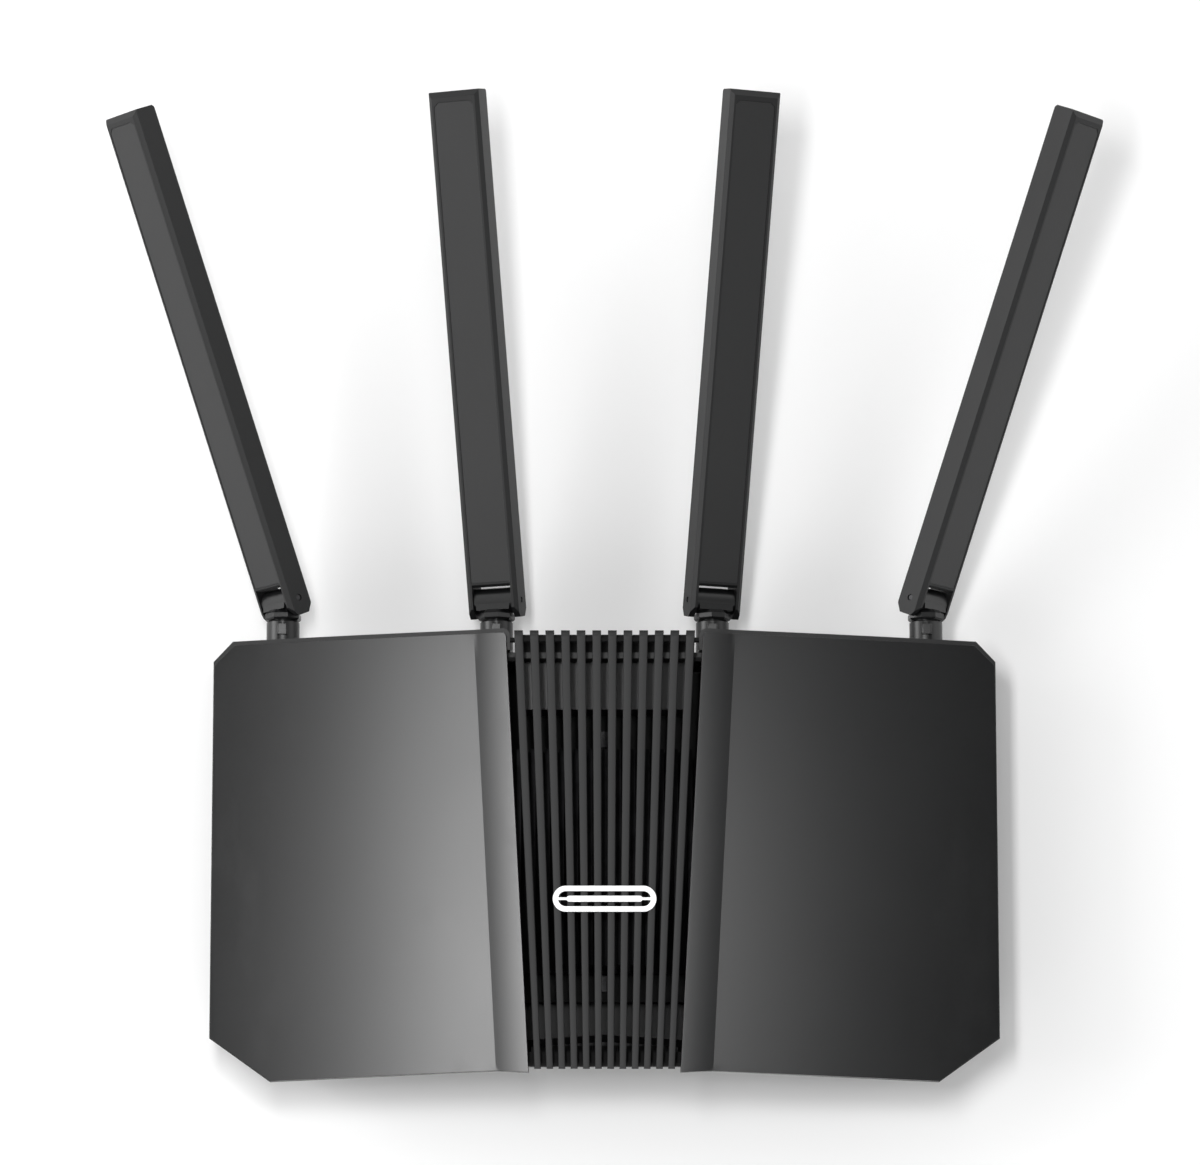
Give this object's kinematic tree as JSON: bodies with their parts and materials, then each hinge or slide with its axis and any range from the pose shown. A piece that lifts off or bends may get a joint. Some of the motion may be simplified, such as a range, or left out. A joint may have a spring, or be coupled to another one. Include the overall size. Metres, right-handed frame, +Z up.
{
  "type": "wireless router",
  "caption": "Low tapered wireless router with two sloping covers, a fanned vent grille between them and folding, swivelling flat antennas on the rear.",
  "frame": {"origin": "on the plane of the feet, under the middle of the whole footprint, antennas included", "axes": "+Z up, -Y towards the front, +Y towards the socket panel and the antennas, +X to the right of a person in front"},
  "size_m": [0.332, 0.3286, 0.069],
  "materials": {
    "housing_plastic": "fine-textured black moulded plastic",
    "cover_plastic": "smooth satin charcoal moulded plastic",
    "grille_plastic": "satin charcoal moulded plastic",
    "badge_white": "white trim",
    "board_laminate": "black solder resist on glass laminate",
    "chip_resin": "black moulding resin",
    "thermal_silicone": "soft silicone pad",
    "black_aluminium": "black anodised",
    "shield_tinplate": "tin-plated sheet",
    "socket_plastic": "black glass-filled nylon",
    "contact_metal": "gold flash",
    "clear_plastic": "clear acrylic",
    "lead_jacket": "thin black jacket",
    "foot_rubber": "soft black rubber",
    "screw_steel": "black zinc-plated steel",
    "hinge_plastic": "satin black nylon",
    "blade_plastic": "satin charcoal moulded plastic",
    "blade_face_plastic": "satin charcoal moulded plastic"
  },
  "bodies": {
    "housing": {"antenna_leads": "lead_jacket", "badge": "badge_white", "board_screws": "screw_steel", "button_switches": "chip_resin", "case_screws": "screw_steel", "dc_jack": "socket_plastic", "heat_sink": "black_aluminium", "inner_left_collar": "hinge_plastic", "inner_right_collar": "hinge_plastic", "jack_contacts": "contact_metal", "lan_jacks": "socket_plastic", "lead_plugs": "contact_metal", "left_cover": "cover_plastic", "light_guide": "clear_plastic", "lower_housing": "housing_plastic", "main_board": "board_laminate", "memory_chips": "chip_resin", "outer_left_collar": "hinge_plastic", "outer_right_collar": "hinge_plastic", "processor": "chip_resin", "rf_shields": "shield_tinplate", "right_cover": "cover_plastic", "rubber_feet": "foot_rubber", "status_leds": "clear_plastic", "thermal_pad": "thermal_silicone", "usb_port": "shield_tinplate", "vent_grille": "grille_plastic", "wan_jack": "socket_plastic"},
    "power_button": {"power_button": "housing_plastic"},
    "wps_button": {"wps_button": "housing_plastic"},
    "reset_button": {"reset_button": "housing_plastic"},
    "outer_left_swivel": {"outer_left_swivel": "hinge_plastic"},
    "outer_left_blade": {"outer_left_blade": "blade_plastic", "outer_left_face_plate": "blade_face_plastic", "outer_left_radiator": "contact_metal", "outer_left_hinge_pin": "screw_steel"},
    "inner_left_swivel": {"inner_left_swivel": "hinge_plastic"},
    "inner_left_blade": {"inner_left_blade": "blade_plastic", "inner_left_face_plate": "blade_face_plastic", "inner_left_radiator": "contact_metal", "inner_left_hinge_pin": "screw_steel"},
    "inner_right_swivel": {"inner_right_swivel": "hinge_plastic"},
    "inner_right_blade": {"inner_right_blade": "blade_plastic", "inner_right_face_plate": "blade_face_plastic", "inner_right_radiator": "contact_metal", "inner_right_hinge_pin": "screw_steel"},
    "outer_right_swivel": {"outer_right_swivel": "hinge_plastic"},
    "outer_right_blade": {"outer_right_blade": "blade_plastic", "outer_right_face_plate": "blade_face_plastic", "outer_right_radiator": "contact_metal", "outer_right_hinge_pin": "screw_steel"}
  },
  "joints": [
    {"name": "outer_left_swivel_turn", "type": "hinge", "parent": "housing", "child": "outer_left_swivel", "pos_m": [-0.1072, -0.00214, 0.019], "axis": [0, -1, 0], "range_deg": [-81, 39]},
    {"name": "outer_left_blade_tilt", "type": "hinge", "parent": "outer_left_swivel", "child": "outer_left_blade", "pos_m": [-0.1072, -0.00214, 0.019], "axis": [0.6293, 0, 0.7771], "range_deg": [-22.6, 67.4]},
    {"name": "inner_left_swivel_turn", "type": "hinge", "parent": "housing", "child": "inner_left_swivel", "pos_m": [-0.036, -0.00214, 0.019], "axis": [0, -1, 0], "range_deg": [-79, 41]},
    {"name": "inner_left_blade_tilt", "type": "hinge", "parent": "inner_left_swivel", "child": "inner_left_blade", "pos_m": [-0.036, -0.00214, 0.019], "axis": [0.9455, 0, 0.3256], "range_deg": [-13.7, 76.3]},
    {"name": "inner_right_swivel_turn", "type": "hinge", "parent": "housing", "child": "inner_right_swivel", "pos_m": [0.036, -0.00214, 0.019], "axis": [0, 1, 0], "range_deg": [-79, 41]},
    {"name": "inner_right_blade_tilt", "type": "hinge", "parent": "inner_right_swivel", "child": "inner_right_blade", "pos_m": [0.036, -0.00214, 0.019], "axis": [0.9455, 0, -0.3256], "range_deg": [-13.7, 76.3]},
    {"name": "outer_right_swivel_turn", "type": "hinge", "parent": "housing", "child": "outer_right_swivel", "pos_m": [0.1072, -0.00214, 0.019], "axis": [0, 1, 0], "range_deg": [-81, 39]},
    {"name": "outer_right_blade_tilt", "type": "hinge", "parent": "outer_right_swivel", "child": "outer_right_blade", "pos_m": [0.1072, -0.00214, 0.019], "axis": [0.6293, 0, -0.7771], "range_deg": [-22.6, 67.4]},
    {"name": "power_button_press", "type": "slide", "parent": "housing", "child": "power_button", "axis": [0, -1, 0], "range_m": [0, 0.0015], "stiffness_N_per_m": 200, "springref_m": -0.001},
    {"name": "wps_button_press", "type": "slide", "parent": "housing", "child": "wps_button", "axis": [0, -1, 0], "range_m": [0, 0.0015], "stiffness_N_per_m": 200, "springref_m": -0.001},
    {"name": "reset_button_press", "type": "slide", "parent": "housing", "child": "reset_button", "axis": [0, -1, 0], "range_m": [0, 0.0015], "stiffness_N_per_m": 200, "springref_m": -0.001}
  ]
}
